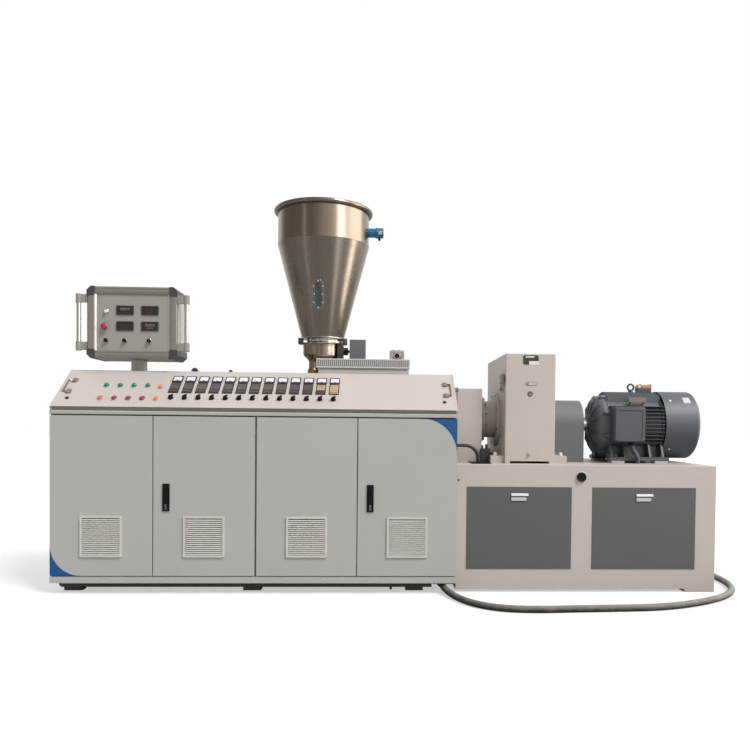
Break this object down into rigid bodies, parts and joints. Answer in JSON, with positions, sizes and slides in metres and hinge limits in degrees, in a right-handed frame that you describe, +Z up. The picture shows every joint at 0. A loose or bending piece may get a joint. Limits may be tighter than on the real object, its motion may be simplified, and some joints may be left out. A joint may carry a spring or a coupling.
{
  "type": "conical twin-screw plastic extruder",
  "caption": "Conical twin-screw plastic extruder: switch cabinet with sloped desk, hopper, barrel, gearbox and motor on one bed.",
  "frame": {"origin": "on the floor under the middle of the machine without its floor hose", "axes": "+X from the die end to the motor, +Y from the cabinet doors to the back, +Z up"},
  "size_m": [4.4759, 1.6297, 2.589],
  "materials": {
    "white_paint": "satin light grey paint",
    "desk_paint": "satin off-white paint",
    "beige_paint": "satin beige paint",
    "dark_panel": "matt dark grey paint",
    "motor_paint": "semi-gloss slate paint",
    "guard_paint": "satin grey paint",
    "stainless": "polished stainless sheet",
    "machined_steel": "machined steel",
    "dark_steel": "dark oiled steel",
    "aluminium": "brushed aluminium profile",
    "black_plastic": "black moulded plastic",
    "grey_plastic": "light grey moulded plastic",
    "instrument": "dark instrument casing",
    "button_plastic": "coloured push button",
    "sensor_blue": "blue moulded plastic",
    "rubber_hose": "ribbed black hose"
  },
  "bodies": {
    "root": {"cabinet_sides": "white_paint", "cabinet_top_and_floor": "white_paint", "cabinet_back": "white_paint", "cabinet_rails": "white_paint", "underframe": "dark_panel", "cabinet_feet": "dark_panel", "console_desk": "desk_paint", "meters": "instrument", "controllers": "instrument", "selector_knobs": "black_plastic", "push_buttons": "button_plastic", "bow_handles": "machined_steel", "desk_fittings": "black_plastic", "control_post": "aluminium", "control_box": "aluminium", "control_box_frame": "aluminium", "control_box_handles": "aluminium", "control_box_fittings": "instrument", "hopper_cylinder": "stainless", "hopper_cone": "stainless", "sight_glass": "machined_steel", "level_sensor": "sensor_blue", "hopper_clamp": "dark_steel", "feeder_cup": "stainless", "feed_chute": "machined_steel", "feeder_drive": "dark_steel", "feeder_motor": "guard_paint", "barrel": "machined_steel", "barrel_feet": "beige_paint", "feed_housing": "white_paint", "slotted_duct": "grey_plastic", "vent_fitting": "machined_steel", "barrel_bed": "beige_paint", "drive_bed": "beige_paint", "bed_panels": "dark_panel", "rear_panels": "dark_panel", "thrust_housing": "beige_paint", "gearbox": "beige_paint", "coupling_guard": "guard_paint", "drive_shaft": "machined_steel", "motor_body": "motor_paint", "motor_cowl": "motor_paint", "terminal_box": "motor_paint", "motor_top_box": "motor_paint", "lifting_eye": "dark_steel", "side_cables": "rubber_hose", "motor_cable": "rubber_hose", "floor_hose": "rubber_hose", "cable_glands": "black_plastic"},
    "door_1": {"door_1": "white_paint"},
    "door_2": {"door_2": "white_paint", "door_2_latch": "black_plastic"},
    "door_3": {"door_3": "white_paint"},
    "door_4": {"door_4": "white_paint", "door_4_latch": "black_plastic"}
  },
  "joints": [
    {"name": "door_1_hinge", "type": "hinge", "parent": "root", "child": "door_1", "pos_m": [-2.14, -0.557, 0.6], "axis": [0, 0, -1], "range_deg": [0, 110]},
    {"name": "door_2_hinge", "type": "hinge", "parent": "root", "child": "door_2", "pos_m": [-0.889, -0.557, 0.6], "axis": [0, 0, 1], "range_deg": [0, 85]},
    {"name": "door_3_hinge", "type": "hinge", "parent": "root", "child": "door_3", "pos_m": [-0.861, -0.557, 0.6], "axis": [0, 0, -1], "range_deg": [0, 85]},
    {"name": "door_4_hinge", "type": "hinge", "parent": "root", "child": "door_4", "pos_m": [0.39, -0.557, 0.6], "axis": [0, 0, 1], "range_deg": [0, 110]}
  ]
}
